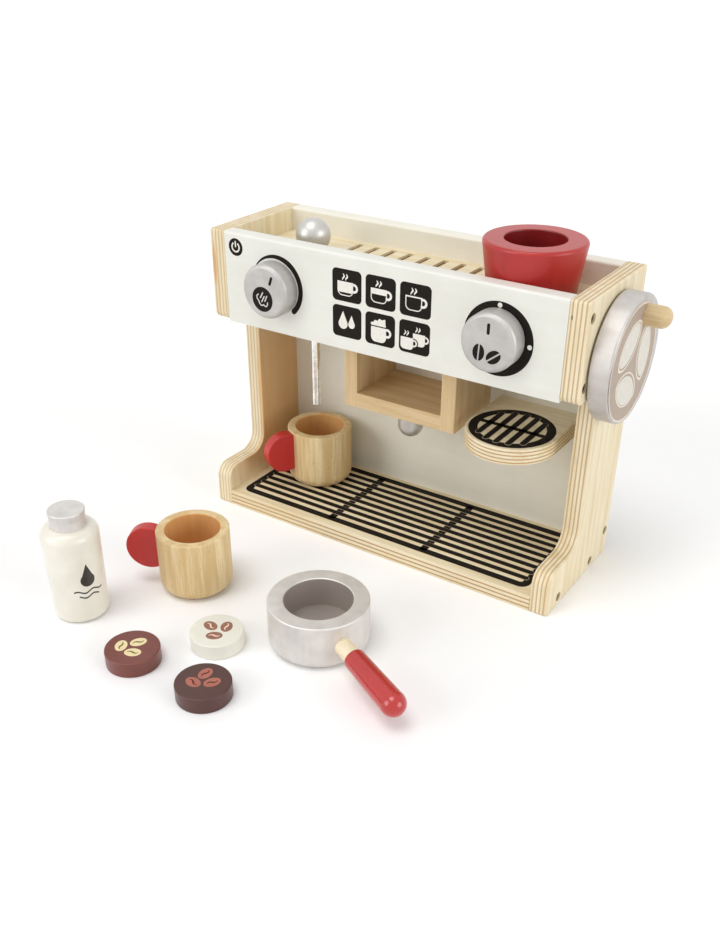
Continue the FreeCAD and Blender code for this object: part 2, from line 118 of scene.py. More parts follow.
class Finish(Tree):
    """A material with one Principled surface. Places are millimetres in the object's own frame."""

    def __init__(self, name, constants=None):
        self.material = bpy.data.materials.new(name)
        self.material.use_nodes = True
        super().__init__(self.material.node_tree)
        self.surface = self.tree.nodes["Principled BSDF"]
        for socket, value in (constants or {}).items():
            self.surface.inputs[socket].default_value = value

    def place(self, centre=(0, 0, 0), stretch=(1, 1, 1), turn=(0, 0, 0)):
        """Millimetres from a centre, turned, with each axis stretched."""
        spot = self.node("ShaderNodeTexCoord", out="Object")
        scaled = self.node("ShaderNodeMapping", {}, {
            "Vector": spot, "Scale": (1 / mm,) * 3, "Location": tuple(-part for part in centre)})
        turned = self.node("ShaderNodeMapping", {}, {"Vector": scaled, "Rotation": turn})
        return self.node("ShaderNodeMapping", {}, {"Vector": turned, "Scale": stretch})

    def axes(self, **options):
        """The three coordinates of a place as wires."""
        split = self.node("ShaderNodeSeparateXYZ", {}, {0: self.place(**options)})
        return split, split["Y"], split["Z"]

    def length_of(self, place):
        """How far a place is from its centre."""
        return self.node("ShaderNodeVectorMath", {"operation": "LENGTH"}, {0: place}, "Value")

    def noise(self, place, scale, detail=3.0, rough=0.55):
        return self.node("ShaderNodeTexNoise", {}, {
            "Vector": place, "Scale": scale, "Detail": detail, "Roughness": rough}, out=0)

    def ramp(self, value, low, high, to_low=0.0, to_high=1.0):
        """A smooth step of value from low to high."""
        return self.node("ShaderNodeMapRange", {"interpolation_type": "SMOOTHSTEP"}, {
            "Value": value, "From Min": low, "From Max": high, "To Min": to_low, "To Max": to_high})

    def mix(self, share, first, second):
        """Two colours mixed by a share."""
        return self.node("ShaderNodeMix", {"data_type": "RGBA"}, {0: share, 6: first, 7: second}, out=2)

    def close(self, colour, roughness, height=None, depth=0.05):
        """Feed the surface: colour, roughness and a bump from a height that is depth millimetres."""
        self.tree.links.new(colour.socket, self.surface.inputs["Base Color"])
        self.tree.links.new(roughness.socket, self.surface.inputs["Roughness"])
        if height is not None:
            bump = self.node("ShaderNodeBump", {}, {
                "Strength": 1.0, "Distance": depth * mm, "Height": height})
            self.tree.links.new(bump.socket, self.surface.inputs["Normal"])
        return self.material


def grain(finish, along, shift=(0, 0, 0)):
    """Wood fibres along an axis: fine streaks, a broad figure and short pores, each 0 to 1."""
    def fibres(across, lengthways, detail):
        stretch = [across] * 3
        stretch[along] = lengthways
        return finish.noise(finish.place(shift, tuple(stretch)), 1.0, detail)
    pores = fibres(3.2, 0.22, 1.0)
    return fibres(1.3, 0.035, 3.0), fibres(0.16, 0.012, 2.0), finish.ramp(pores, 0.66, 0.74)


def knot_and_shade_patch(finish, colour, centre, reach, tint):
    """A knot, a stain or a patch of painted shade on the wood: an ellipsoid of another tint with a soft rim.
    """
    stretch = tuple(1 / size for size in reach)
    away = finish.length_of(finish.place(centre, stretch))
    return finish.mix(finish.ramp(away, 1.15, 0.6) * 0.7, colour, srgb(*tint))


def dress(node, material):
    """Give a carried-over piece its finish."""
    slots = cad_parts[node].data.materials
    slots.clear()
    slots.append(material)


def edges_of(node):
    """The lowest and highest corner of a piece, in millimetres."""
    low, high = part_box(node)
    return low / mm, high / mm


def middle_of(node):
    """The middle of a piece's box, in millimetres."""
    low, high = edges_of(node)
    return (low + high) / 2


def plywood(name, node, plies, through, along, contrast=1.0, knots_and_shade_patches=()):
    """Birch plywood as a solid: a face veneer with its grain along one axis, and plies below it."""
    finish = Finish(name, {"Specular IOR Level": 0.4})
    low, high = edges_of(node)
    thickness = high[through] - low[through]
    ply = thickness / plies
    depth = finish.axes()[through] - low[through]
    streaks, figure, pores = grain(finish, along)
    waver = finish.noise(finish.place((0, 0, 0), (0.05, 0.05, 0.05)), 1.0, 1.0)
    cycle = (depth + waver * 0.3) / (2 * ply) - 0.25
    nearness = abs(finish.node("ShaderNodeMath", {"operation": "FRACT"}, {0: cycle}) - 0.5)
    inside = (depth > ply * 0.8) * (depth < thickness - ply * 0.8)
    dark_ply = finish.ramp(nearness, 0.21, 0.12) * inside * contrast
    glue_line = finish.ramp(abs(nearness - 0.17), 0.035, 0.0) * inside * contrast
    cut_fibres = finish.noise(finish.place((7, 3, 5), (1.1, 1.1, 1.1)), 1.0, 4.0, 0.7)
    tone = finish.ramp(streaks * 0.5 + figure * 0.6, 0.42, 0.72)
    veneer = finish.mix(tone, srgb(235, 223, 193), srgb(221, 203, 163))
    veneer = finish.mix(pores * 0.35, veneer, srgb(176, 142, 98))
    end_grain = finish.mix(cut_fibres, srgb(205, 170, 122), srgb(170, 130, 84))
    edge = finish.mix(dark_ply, veneer, end_grain)
    edge = finish.mix(glue_line * 0.35, edge, srgb(140, 102, 64))
    for mark in knots_and_shade_patches:
        edge = knot_and_shade_patch(finish, edge, *mark)
    roughness = 0.42 + streaks * 0.12 + dark_ply * 0.12
    return finish.close(edge, roughness, streaks - dark_ply * 0.6 - pores * 0.4, 0.05)


x_axis, y_axis, z_axis = 0, 1, 2
side_plies = 9
edge_knot = ((122.7, -42.1, 189.1), (0.7, 1.5, 1.6), (88, 62, 40))
warm_ply = ((-130.6, -42.0, 176.0), (1.7, 8.0, 15.0), (205, 150, 92))
# Painted shade: a warm, darker tint over the left panel's inner face under the head, for the warm shade in
# the bay.
painted_warm_shade_inside = ((-118.0, 0.0, 70.0), (6.0, 70.0, 82.0), (226, 172, 104))
side_looks = {"left": (0.6, (warm_ply, painted_warm_shade_inside)), "right": (0.8, (edge_knot,))}
for side, (contrast, knots_and_shade_patches) in side_looks.items():
    panel = side + "_side_panel"
    dress(panel, plywood(side + "_birch_ply", panel, side_plies, x_axis, z_axis, contrast, knots_and_shade_patches))

# Base board: seven-ply birch, 10.8 mm thick, let in between the side panels and screwed through them.
# A drip grille is printed on it in one black ink: a frame, two dividers and eight bars with round ends.
# A hair line is left bare round each bar, so the bars show over the frame and the dividers.
base_plies = 7
dress("base_board", plywood("base_birch_ply", "base_board", base_plies, z_axis, x_axis))


def rounded(corners, steps=7):
    """A closed outline from corners (x, y, radius), each rounded by a tangent arc."""
    points = []
    for index, (x, y, radius) in enumerate(corners):
        here = Vector((x, y))
        before = (Vector(corners[index - 1][:2]) - here).normalized()
        after = (Vector(corners[(index + 1) % len(corners)][:2]) - here).normalized()
        if radius == 0:
            points.append(here)
            continue
        half = before.angle(after) / 2
        start = here + before * (radius / math.tan(half))
        end = here + after * (radius / math.tan(half))
        centre = here + (before + after).normalized() * (radius / math.sin(half))
        first = math.atan2(*(start - centre).yx)
        sweep = math.atan2(*(end - centre).yx) - first
        sweep = (sweep + math.pi) % (2 * math.pi) - math.pi
        for step in range(steps + 1):
            angle = first + sweep * step / steps
            points.append(centre + Vector((math.cos(angle), math.sin(angle))) * radius)
    return points


def plate(x, y, width, height, radius):
    """A rounded rectangle about its centre."""
    half_width, half_height = width / 2, height / 2
    corners = ((-1, -1), (1, -1), (1, 1), (-1, 1))
    return rounded([(x + right * half_width, y + up * half_height, radius) for right, up in corners])


def print_mesh(name, shapes, thickness):
    """Ink as a thin closed slab on the XY plane, in millimetres. A shape is an outline and its holes."""
    joined = bmesh.new()
    for loops in shapes:
        curve = bpy.data.curves.new(name, "CURVE")
        curve.dimensions = "2D"
        curve.fill_mode = "BOTH"
        curve.extrude = thickness / 2
        for loop in loops:
            spline = curve.splines.new("POLY")
            spline.points.add(len(loop) - 1)
            for point, (x, y) in zip(spline.points, loop):
                point.co = (x, y, 0, 1)
            spline.use_cyclic_u = True
        flat = bpy.data.objects.new(name, curve)
        bpy.context.scene.collection.objects.link(flat)
        mesh = bpy.data.meshes.new_from_object(flat)
        joined.from_mesh(mesh)
        bpy.data.objects.remove(flat)
        bpy.data.meshes.remove(mesh)
        bpy.data.curves.remove(curve)
    bmesh.ops.remove_doubles(joined, verts=joined.verts, dist=1e-4)
    bmesh.ops.recalc_face_normals(joined, faces=joined.faces)
    bmesh.ops.translate(joined, verts=joined.verts, vec=(0, 0, thickness / 2 - ink_sink))
    mesh = bpy.data.meshes.new(name)
    joined.to_mesh(mesh)
    joined.free()
    return mesh


def sheet_place(origin, right, up):
    """The placing of a drawing's millimetres on a plane, given by a point, its right and its up."""
    right, up = Vector(right), Vector(up)
    out = right.cross(up)
    columns = Matrix((right, up, out)).transposed().to_4x4()
    return Matrix.Scale(mm, 4) @ Matrix.Translation(origin) @ columns


def piece(name, mesh, material, body):
    """A finished mesh as a piece that moves with a body."""
    mesh.materials.clear()
    mesh.materials.append(material)
    made = bpy.data.objects.new(name, mesh)
    bpy.context.scene.collection.objects.link(made)
    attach(made, body)


def ink(name, shapes, material, place, body, layer=1):
    """A print: its shapes in ink on a plane; a higher layer lies over a lower one."""
    mesh = print_mesh(name, shapes, ink_thickness * layer + ink_sink)
    mesh.transform(place)
    piece(name, mesh, material, body)


def ink_finish(name, colour, speck, roughness):
    """Screen-printed ink: a little uneven, over the grain below it."""
    finish = Finish(name, {"Specular IOR Level": 0.12})
    cloud = finish.noise(finish.place(), 0.35, 3.0)
    fine = finish.noise(finish.place(), 3.0, 2.0)
    shade = finish.mix(finish.ramp(cloud * 0.6 + fine * 0.4, 0.35, 0.7), srgb(*colour), srgb(*speck))
    return finish.close(shade, roughness + fine * 0.15, fine, 0.01)


def input_names(group, names):
    """Add a node group's named inputs and its one output."""
    for name, kind in names.items():
        group.interface.new_socket(name, in_out="INPUT", socket_type="NodeSocket" + kind)
    group.interface.new_socket("Geometry", in_out="OUTPUT", socket_type="NodeSocketGeometry")


def grown(name, group, values, source=None):
    """Run a node group on a source mesh and keep the result as a plain mesh."""
    holder = bpy.data.objects.new(name, source or bpy.data.meshes.new(name))
    bpy.context.scene.collection.objects.link(holder)
    modifier = holder.modifiers.new(name, "NODES")
    modifier.node_group = group
    for item in group.interface.items_tree:
        if item.in_out == "INPUT" and item.name in values:
            modifier[item.identifier] = values[item.name]
    shown = holder.evaluated_get(bpy.context.evaluated_depsgraph_get())
    mesh = bpy.data.meshes.new_from_object(shown)
    mesh.name = name
    holder.modifiers.clear()
    bpy.data.objects.remove(holder)
    return mesh


def plate_grid_group():
    """Rounded plates of one size on a grid: each is filled, given its thickness and closed below."""
    group = bpy.data.node_groups.new("rounded_plates", "GeometryNodeTree")
    input_names(group, {
        "Width": "Float", "Height": "Float", "Corner": "Float", "Thickness": "Float", "Columns": "Int",
        "Rows": "Int", "Column pitch": "Float", "Row pitch": "Float", "Ink": "Material"})
    tree = Tree(group)
    given = tree.node("NodeGroupInput")
    edge = tree.node("GeometryNodeCurvePrimitiveQuadrilateral", {}, {
        "Width": given["Width"], "Height": given["Height"]})
    edge = tree.node("GeometryNodeFilletCurve", {"mode": "POLY"}, {
        "Curve": edge, "Count": 8, "Radius": given["Corner"], "Limit Radius": True})
    flat = tree.node("GeometryNodeFillCurve", {"mode": "NGONS"}, {"Curve": edge})
    raised = tree.node("GeometryNodeExtrudeMesh", {}, {
        "Mesh": flat, "Offset Scale": given["Thickness"], "Individual": False})
    below = tree.node("GeometryNodeFlipFaces", {}, {"Mesh": flat})
    slab = tree.node("GeometryNodeJoinGeometry", {}, {"Geometry": [below, raised]})
    slab = tree.node("GeometryNodeMergeByDistance", {}, {"Geometry": slab, "Distance": 1e-4})
    spots = tree.node("GeometryNodeMeshGrid", {}, {
        "Size X": given["Column pitch"] * (given["Columns"] - 1),
        "Size Y": given["Row pitch"] * (given["Rows"] - 1),
        "Vertices X": given["Columns"], "Vertices Y": given["Rows"]})
    copies = tree.node("GeometryNodeInstanceOnPoints", {}, {"Points": spots, "Instance": slab})
    solid = tree.node("GeometryNodeRealizeInstances", {}, {"Geometry": copies})
    painted = tree.node("GeometryNodeSetMaterial", {}, {"Geometry": solid, "Material": given["Ink"]})
    tree.node("NodeGroupOutput", {}, {"Geometry": painted})
    return group


plate_grid = plate_grid_group()


def printed_plates(name, place, body, material, centre, size, corner, count, pitch, layer=1):
    """A grid of like rounded plates in ink on a plane."""
    mesh = grown(name, plate_grid, {
        "Width": size[0], "Height": size[1], "Corner": corner,
        "Thickness": ink_thickness * layer + ink_sink, "Columns": count[0], "Rows": count[1],
        "Column pitch": pitch[0], "Row pitch": pitch[1], "Ink": material})
    mesh.transform(place @ Matrix.Translation((*centre, -ink_sink)))
    piece(name, mesh, material, body)


ink_thickness = 0.08
ink_sink = 0.04
black_ink = ink_finish("black_ink", (24, 20, 16), (32, 27, 22), 0.55)
bare_line = ink_finish("bare_line", (214, 198, 166), (224, 208, 178), 0.5)
base_top = sheet_place((0, 0, edges_of("base_board")[1].z), (1, 0, 0), (0, 1, 0))

grille_left, grille_right = -115.3, 115.0
grille_front, grille_back = -46.8, 27.5
grille_rim = 5.4
grille_corner = 6.5
bar_count = 8
bar_pitch = 7.5
bar_width = 4.1
bar_overlap = 2.0
hair_line = 0.22
divider_width = 5.2
divider_corner = 0.5
divider_pitch = 74.7
grille_width, grille_depth = grille_right - grille_left, grille_back - grille_front
grille_centre = ((grille_left + grille_right) / 2, (grille_front + grille_back) / 2)
ink("drip_grille_frame", [[
    plate(*grille_centre, grille_width, grille_depth, grille_corner),
    plate(*grille_centre, grille_width - 2 * grille_rim, grille_depth - 2 * grille_rim,
          grille_corner / 4),
]], black_ink, base_top, "machine")
printed_plates("drip_grille_dividers", base_top, "machine", black_ink, grille_centre,
               (divider_width, grille_depth - grille_rim), divider_corner, (2, 1), (divider_pitch, 1))
bar_length = grille_width - 2 * grille_rim + 2 * bar_overlap
printed_plates("drip_grille_bar_lines", base_top, "machine", bare_line, grille_centre,
               (bar_length + 2 * hair_line, bar_width + 2 * hair_line), bar_width / 2 + hair_line,
               (1, bar_count), (1, bar_pitch), layer=2)
printed_plates("drip_grille_bars", base_top, "machine", black_ink, grille_centre,
               (bar_length, bar_width), bar_width / 2, (1, bar_count), (1, bar_pitch), layer=3)

# Back panel: one board 10.8 mm thick, painted white on every side, standing on the base board.
# The top edge is rounded over. The shelf and the box are screwed to it from behind.


def painted_bore_shade(finish, colour, bore, share):
    """Painted shade inside a bore, given by its axis, its radius and the tint of the shade."""
    axis, radius, tint = bore
    away = finish.length_of(finish.place((axis.x, axis.y, 0), (1, 1, 0)))
    return finish.mix((away < radius) * share, colour, srgb(*tint))


def painted_wood(name, colour, shade, along, roughness, coat=0.0, depth=0.03, pits=0.25, bore=None):
    """Paint over wood: nearly even, with the grain just telling through. Inside a bore it is darkened as
    painted shade.
    """
    finish = Finish(name, {"Specular IOR Level": 0.45, "Coat Weight": coat, "Coat Roughness": 0.12})
    streaks, figure, pores = grain(finish, along, (3, 7, 11))
    cloud = finish.noise(finish.place((5, 5, 5), (0.03, 0.03, 0.03)), 1.0, 3.0)
    orange_peel = finish.noise(finish.place(), 1.2, 2.0)
    colour = finish.mix(finish.ramp(cloud * 0.7 + figure * 0.3, 0.3, 0.7), srgb(*colour), srgb(*shade))
    if bore:
        colour = painted_bore_shade(finish, colour, bore, 0.8)
    wear = finish.ramp(streaks, 0.35, 0.75)
    relief = orange_peel * 0.6 + streaks * 0.3 - pores * pits
    return finish.close(colour, roughness + wear * 0.08, relief, depth)


# This white is warmer than the front panel's: partly the board's own cream tone, partly painted warm shade
# from under the head.
dress("back_panel", painted_wood("back_white", (239, 236, 224), (233, 229, 214), x_axis, 0.42))

# Front panel: the same white painted board across the head, screwed between the side panels.
# Printed on it: a power sign, six tiles with coffee signs, a scale round the left knob and a disc
# round the right one.
# Its white is a little darker than the back panel's, toned down for the lamps that face it: painted shade.
dress("front_panel", painted_wood("front_white", (231, 231, 223), (224, 223, 214), x_axis, 0.42))
white_ink = ink_finish("white_ink", (236, 233, 225), (226, 223, 214), 0.45)
panel_face = sheet_place((0, edges_of("front_panel")[0].y, 0), (1, 0, 0), (0, 0, 1))


def oval(x, y, half_width, half_height, count=48):
    """An ellipse."""
    angles = [math.tau * step / count for step in range(count)]
    return [Vector((x + half_width * math.cos(angle), y + half_height * math.sin(angle)))
            for angle in angles]


def disc(x, y, radius, count=56):
    """A circle."""
    return oval(x, y, radius, radius, count)


def brush(path, widths, cap=6):
    """The outline of a stroke along a path, with a width at each point and round ends."""
    path = [Vector(point) for point in path]
    last = len(path) - 1
    headings = [(path[min(i + 1, last)] - path[max(i - 1, 0)]).normalized() for i in range(last + 1)]
    sides = [Vector((-heading.y, heading.x)) for heading in headings]
    left = [point + side * width / 2 for point, side, width in zip(path, sides, widths)]
    right = [point - side * width / 2 for point, side, width in zip(path, sides, widths)]

    def end(centre, side, width, way):
        first = math.atan2(side.y, side.x)
        angles = [first - way * math.pi * step / cap for step in range(1, cap)]
        return [centre + Vector((math.cos(angle), math.sin(angle))) * width / 2 for angle in angles]
    far = end(path[-1], sides[-1], widths[-1], 1)
    near = end(path[0], -sides[0], widths[0], 1)
    return left + far + right[::-1] + near


def arc(x, y, radius, start, stop, count=24):
    """Points along an arc between two angles in degrees."""
    angles = [math.radians(start + (stop - start) * step / count) for step in range(count + 1)]
    return [(x + radius * math.cos(angle), y + radius * math.sin(angle)) for angle in angles]


def steam(x, y, height, width=1.05):
    """A rising wisp: it bulges to the right above and leans back below, thickest in the middle."""
    count = 14
    shares = [step / count for step in range(count + 1)]
    path = [(x + height * 0.13 * (math.sin(math.tau * (share - 0.36)) + share), y + height * share)
            for share in shares]
    widths = [width * (0.3 + 0.7 * math.sin(math.pi * share)) for share in shares]
    return [brush(path, widths)]


tile_width, tile_height, tile_corner = 21.5, 20.3, 3.0
tile_pitch_x, tile_pitch_z = 24.5, 23.1
tiles_x, tiles_z = 0.3, 168.45
printed_plates("sign_tiles", panel_face, "machine", black_ink, (tiles_x, tiles_z),
               (tile_width, tile_height), tile_corner, (3, 2), (tile_pitch_x, tile_pitch_z))


def cup_body(x, top, width, height, inset=0.0, foot_radius=3.4):
    """The side view of a cup: straight sides and a foot with round corners."""
    brim_radius = 0.2
    half = width / 2 - inset
    low = top - height + inset
    radius = foot_radius - inset
    return rounded([(x - half, top - inset, brim_radius), (x - half, low, radius),
                    (x + half, low, radius), (x + half, top - inset, brim_radius)])


def cup_ear(x, y, radius=3.0, width=1.5):
    """The handle of a cup in side view."""
    return [brush(arc(x, y, radius - width / 2, 110, -110), [width] * 25)]


def below(outline, level):
    """The part of an outline that lies under a level."""
    kept = []
    for index, here in enumerate(outline):
        before = outline[index - 1]
        if (before.y - level) * (here.y - level) < 0:
            kept.append(before.lerp(here, (level - before.y) / (here.y - before.y)))
        if here.y <= level:
            kept.append(here)
    return kept


def filled_cup(x, top, width, height, fill):
    """A cup whose upper part is solid down to a level; below it only the outline shows."""
    wall = 0.6
    hollow = below(cup_body(x, top, width, height, wall), top - height * fill)
    return [[cup_body(x, top, width, height), hollow]]


signs, ears = [], []
sign_cup_width, sign_cup_height = 11.5, 8.9
upper_z = tiles_z + tile_pitch_z / 2
lower_z = tiles_z - tile_pitch_z / 2
steam_foot, steam_height = 3.3, 3.9
for column, fill in enumerate((0.76, 0.40, 0.09)):
    x = tiles_x + (column - 1) * tile_pitch_x - 1.1
    signs += filled_cup(x, upper_z + 2.4, sign_cup_width, sign_cup_height, fill)
    ears.append(cup_ear(x + sign_cup_width / 2 + 0.6, upper_z - 0.9))
    signs += [steam(x + shift, upper_z + steam_foot, steam_height) for shift in (-1.6, 0.8)]


def drop(x, y, radius, tip):
    """A falling drop: a round foot drawn up to a point."""
    side = math.degrees(math.asin(radius / (tip - y)))
    foot = arc(x, y, radius, 180 - side, 360 + side, 28)
    return [[Vector((x, tip))] + [Vector(point) for point in foot]]


drops_x = tiles_x - tile_pitch_x
signs += [drop(drops_x - 2.9, lower_z - 1.6, 3.35, lower_z + 6.6),
          drop(drops_x + 3.5, lower_z - 1.3, 2.4, lower_z + 4.8)]

cream_x = tiles_x - 1.0
signs.append([cup_body(cream_x, lower_z + 1.4, 10.9, 9.6)])
ears.append(cup_ear(cream_x + 6.2, lower_z - 1.5))
cream = ((-5.4, 2.2, 0.6), (5.3, 2.2, 0.4), (4.9, 4.4, 0.6), (4.8, 7.3, 0.5), (2.6, 6.3, 0.5),
         (0.3, 6.9, 0.6), (-0.6, 5.4, 0.5), (-3.0, 5.6, 0.6), (-3.6, 4.2, 0.5), (-5.8, 3.9, 0.7))
signs.append([rounded([(cream_x + x, lower_z + z, radius) for x, z, radius in cream])])

pair_x = tiles_x + tile_pitch_x + 0.7
pair_foot, pair_ear_radius, pair_ear_width = 2.4, 2.3, 1.0
signs.append([cup_body(pair_x + 2.6, lower_z + 2.75, 8.4, 7.6, foot_radius=pair_foot)])
ears.append(cup_ear(pair_x + 7.2, lower_z - 0.2, pair_ear_radius, pair_ear_width))
for x, z in ((-7.4, 0.4), (-5.5, 0.4), (0.6, 3.6), (2.5, 3.6)):
    signs.append(steam(pair_x + x, lower_z + z, 3.2, 0.85))
ink("tile_sign_ears", ears, white_ink, panel_face, "machine", layer=2)
ink("tile_signs", signs, white_ink, panel_face, "machine", layer=3)
front_x, front_top, front_width, front_height = pair_x - 5.6, lower_z - 0.5, 8.8, 7.5
ear_x, ear_z, gap = front_x + 4.9, front_top - 3.0, 0.6
front_gap = cup_body(front_x, front_top, front_width + 2 * gap, front_height + gap, foot_radius=2.9)
front_cup = cup_body(front_x, front_top, front_width, front_height, foot_radius=pair_foot)
ink("front_cup_gap", [[front_gap]], black_ink, panel_face, "machine", layer=4)
ink("front_cup_ear_gap", [[disc(ear_x, ear_z, pair_ear_radius + gap)]],
    black_ink, panel_face, "machine", layer=5)
ink("front_cup_ear", [cup_ear(ear_x, ear_z, pair_ear_radius, pair_ear_width)],
    white_ink, panel_face, "machine", layer=6)
ink("front_cup", [[front_cup]], white_ink, panel_face, "machine", layer=7)

power_x, power_z, power_radius, power_line = -111.5, 189.8, 5.7, 1.0
ink("power_disc", [[disc(power_x, power_z, power_radius)]], black_ink, panel_face, "machine")
ink("power_sign", [
    [brush(arc(power_x, power_z, power_radius * 0.52, 130, 410), [power_line] * 25)],
    [brush([(power_x, power_z + 0.4), (power_x, power_z + 3.6)], [power_line] * 2)],
], white_ink, panel_face, "machine", layer=2)

steam_knob_x, bean_knob_x, knob_z = -79.5, 79.9, 168.6
scale_radius, scale_width, scale_steps = 19.45, 3.5, 48
scale_path = arc(steam_knob_x + 0.2, knob_z + 0.7, scale_radius, 152, -46, scale_steps)
scale_widths = [scale_width * min(1.0, 0.12 + 1.9 * step / scale_steps) for step in range(scale_steps + 1)]
ink("steam_scale", [[brush(scale_path, scale_widths)]], black_ink, panel_face, "machine")
bean_disc_radius, dot_radius = 22.2, 1.45
ink("bean_disc", [[disc(bean_knob_x, knob_z - 0.7, bean_disc_radius, 96)]], black_ink, panel_face, "machine")
ink("bean_disc_dots", [[disc(bean_knob_x - 0.2, knob_z + 19.3, dot_radius, 24)],
                       [disc(bean_knob_x + 20.0, knob_z - 1.5, dot_radius, 24)]],
    white_ink, panel_face, "machine", layer=2)

# Top deck: a birch board with nine slots, let into grooves in the side panels.
# It is the cup warmer: cups stand on it behind the front panel.
deck_plies = 5
dress("top_deck", plywood("deck_birch_ply", "top_deck", deck_plies, z_axis, x_axis))

# Box under the head: walls, floor and top of solid beech, glued and screwed to the back panel.
# The filter holder slides into it. Its grain runs along each board.


def solid_wood(name, along, light, dark, pore, shift=(0, 0, 0), contrast=(0.40, 0.72), bore=None):
    """Clear lacquered solid wood: streaks, a broad figure and short pores. Inside a bore it is darkened as
    painted shade.
    """
    finish = Finish(name, {"Specular IOR Level": 0.4})
    streaks, figure, pores = grain(finish, along, shift)
    tone = finish.ramp(streaks * 0.45 + figure * 0.65, *contrast)
    colour = finish.mix(tone, srgb(*light), srgb(*dark))
    colour = finish.mix(pores * 0.55, colour, srgb(*pore))
    if bore:
        colour = painted_bore_shade(finish, colour, bore, 0.75)
    return finish.close(colour, 0.40 + streaks * 0.14, streaks - pores * 0.7, 0.05)


beech_light, beech_dark, beech_pore = (224, 199, 157), (209, 178, 131), (168, 126, 82)
upright_beech = solid_wood("upright_beech", z_axis, beech_light, beech_dark, beech_pore)
level_beech = solid_wood("level_beech", x_axis, beech_light, beech_dark, beech_pore)
dress("group_box_left_wall", upright_beech)
dress("group_box_right_wall", upright_beech)
dress("group_box_floor", level_beech)
dress("group_box_top", level_beech)

# Coffee spout: a turned round-nosed peg, glued up into the floor of the box.
# It is silver painted, as are the wand's ball, the knobs and the crank wheel.


def silver_paint(name, colour=(206, 204, 200), metallic=0.72, roughness=0.34, along=z_axis, bore=None):
    """Aluminium paint on turned wood: flakes, clouds and a faint grain. Inside a bore it is darkened as
    painted shade.
    """
    finish = Finish(name, {"Specular IOR Level": 0.5, "Metallic": metallic})
    flakes = finish.noise(finish.place(), 6.0, 1.0)
    streaks, figure, pores = grain(finish, along, (13, 5, 2))
    clouds = finish.noise(finish.place((0, 0, 0), (0.09, 0.09, 0.09)), 1.0, 2.0)
    shade = [value - 18 for value in colour]
    mottle = finish.ramp(flakes * 0.4 + figure * 0.2 + clouds * 0.4, 0.38, 0.64)
    tone = finish.mix(mottle, srgb(*colour), srgb(*shade))
    if bore:
        tone = painted_bore_shade(finish, tone, bore, 1.0)
    relief = flakes * 0.5 + streaks * 0.5 - pores * 0.5
    return finish.close(tone, roughness + flakes * 0.12, relief, 0.02)


satin_silver = silver_paint("satin_silver")
dress("coffee_spout", satin_silver)

# Grinder shelf: a round-ended tongue of birch plywood, screwed on from behind the back panel.
# A round grille is printed on it: a ring, five bars with round ends and a broken cross bar.
shelf_plies = 9
dress("grinder_shelf", plywood("shelf_birch_ply", "grinder_shelf", shelf_plies, z_axis, x_axis))
shelf_top = sheet_place((0, 0, edges_of("grinder_shelf")[1].z), (1, 0, 0), (0, 1, 0))
ring_x, ring_y = 79.8, -11.4
ring_outer, ring_inner = 27.4, 21.6
shelf_bar_pitch, shelf_bar_width, shelf_bar_count = 7.6, 3.9, 5
bar_reach, cross_width = 0.6, 3.6
ink("shelf_grille_ring", [[disc(ring_x, ring_y, ring_outer, 96), disc(ring_x, ring_y, ring_inner, 96)]],
    black_ink, shelf_top, "machine")


def shelf_bars(margin):
    """The bars of the round grille, each wider by a margin; their ends reach into the ring."""
    shapes = []
    for index in range(shelf_bar_count):
        x = (index - (shelf_bar_count - 1) / 2) * shelf_bar_pitch
        half = math.sqrt(ring_inner ** 2 - x ** 2) + bar_reach
        path = [(ring_x + x, ring_y - half), (ring_x + x, ring_y + half)]
        shapes.append([brush(path, [shelf_bar_width + 2 * margin] * 2)])
    return shapes


def shelf_cross_bars():
    """The cross bar, in short pieces between one bar and the next."""
    shapes = []
    for index in range(shelf_bar_count + 1):
        x = ring_x + (index - shelf_bar_count / 2) * shelf_bar_pitch
        reach = (-0.8, 4.6) if index else (-3.0, 4.6)
        shapes.append([brush([(x + reach[0], ring_y), (x + reach[1], ring_y)], [cross_width] * 2)])
    return shapes


ink("shelf_grille_lines", shelf_bars(hair_line), bare_line, shelf_top, "machine", layer=2)
ink("shelf_grille_bars", shelf_bars(0) + shelf_cross_bars(), black_ink, shelf_top, "machine", layer=3)

# Bean hopper: a turned cone with a straight bore, whose neck is glued into the deck.
# It is painted satin red; inside the bore the red is darkened as painted shade.
hopper_bore_shade = (middle_of("bean_hopper"), 18.6, (112, 18, 18))
dress("bean_hopper", painted_wood(
    "satin_red", (178, 40, 36), (166, 34, 31), z_axis, 0.33, coat=0.15, depth=0.04, bore=hopper_bore_shade))

# Screws and washers: plated countersunk wood screws, sunk below the face of each panel.
# The plating is yellowish and unevenly dulled.


def plated_steel(name, colour, roughness):
    """Zinc-plated steel, dulled and unevenly tinted."""
    finish = Finish(name, {"Metallic": 1.0})
    cloud = finish.noise(finish.place(), 0.9, 4.0)
    shade = [value * 0.7 for value in colour]
    tone = finish.mix(finish.ramp(cloud, 0.35, 0.65), srgb(*colour), srgb(*shade))
    return finish.close(tone, roughness + cloud * 0.2, cloud, 0.01)


screw_steel = plated_steel("screw_steel", (158, 126, 84), 0.38)
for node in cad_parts:
    if node.endswith(("_screws", "_screw", "_washer")):
        dress(node, screw_steel)

# Steam wand: a polished metal rod through the deck, with a silver ball to lift it by.
# A beech collar on the rod, inside the head, stops it from being pulled out.


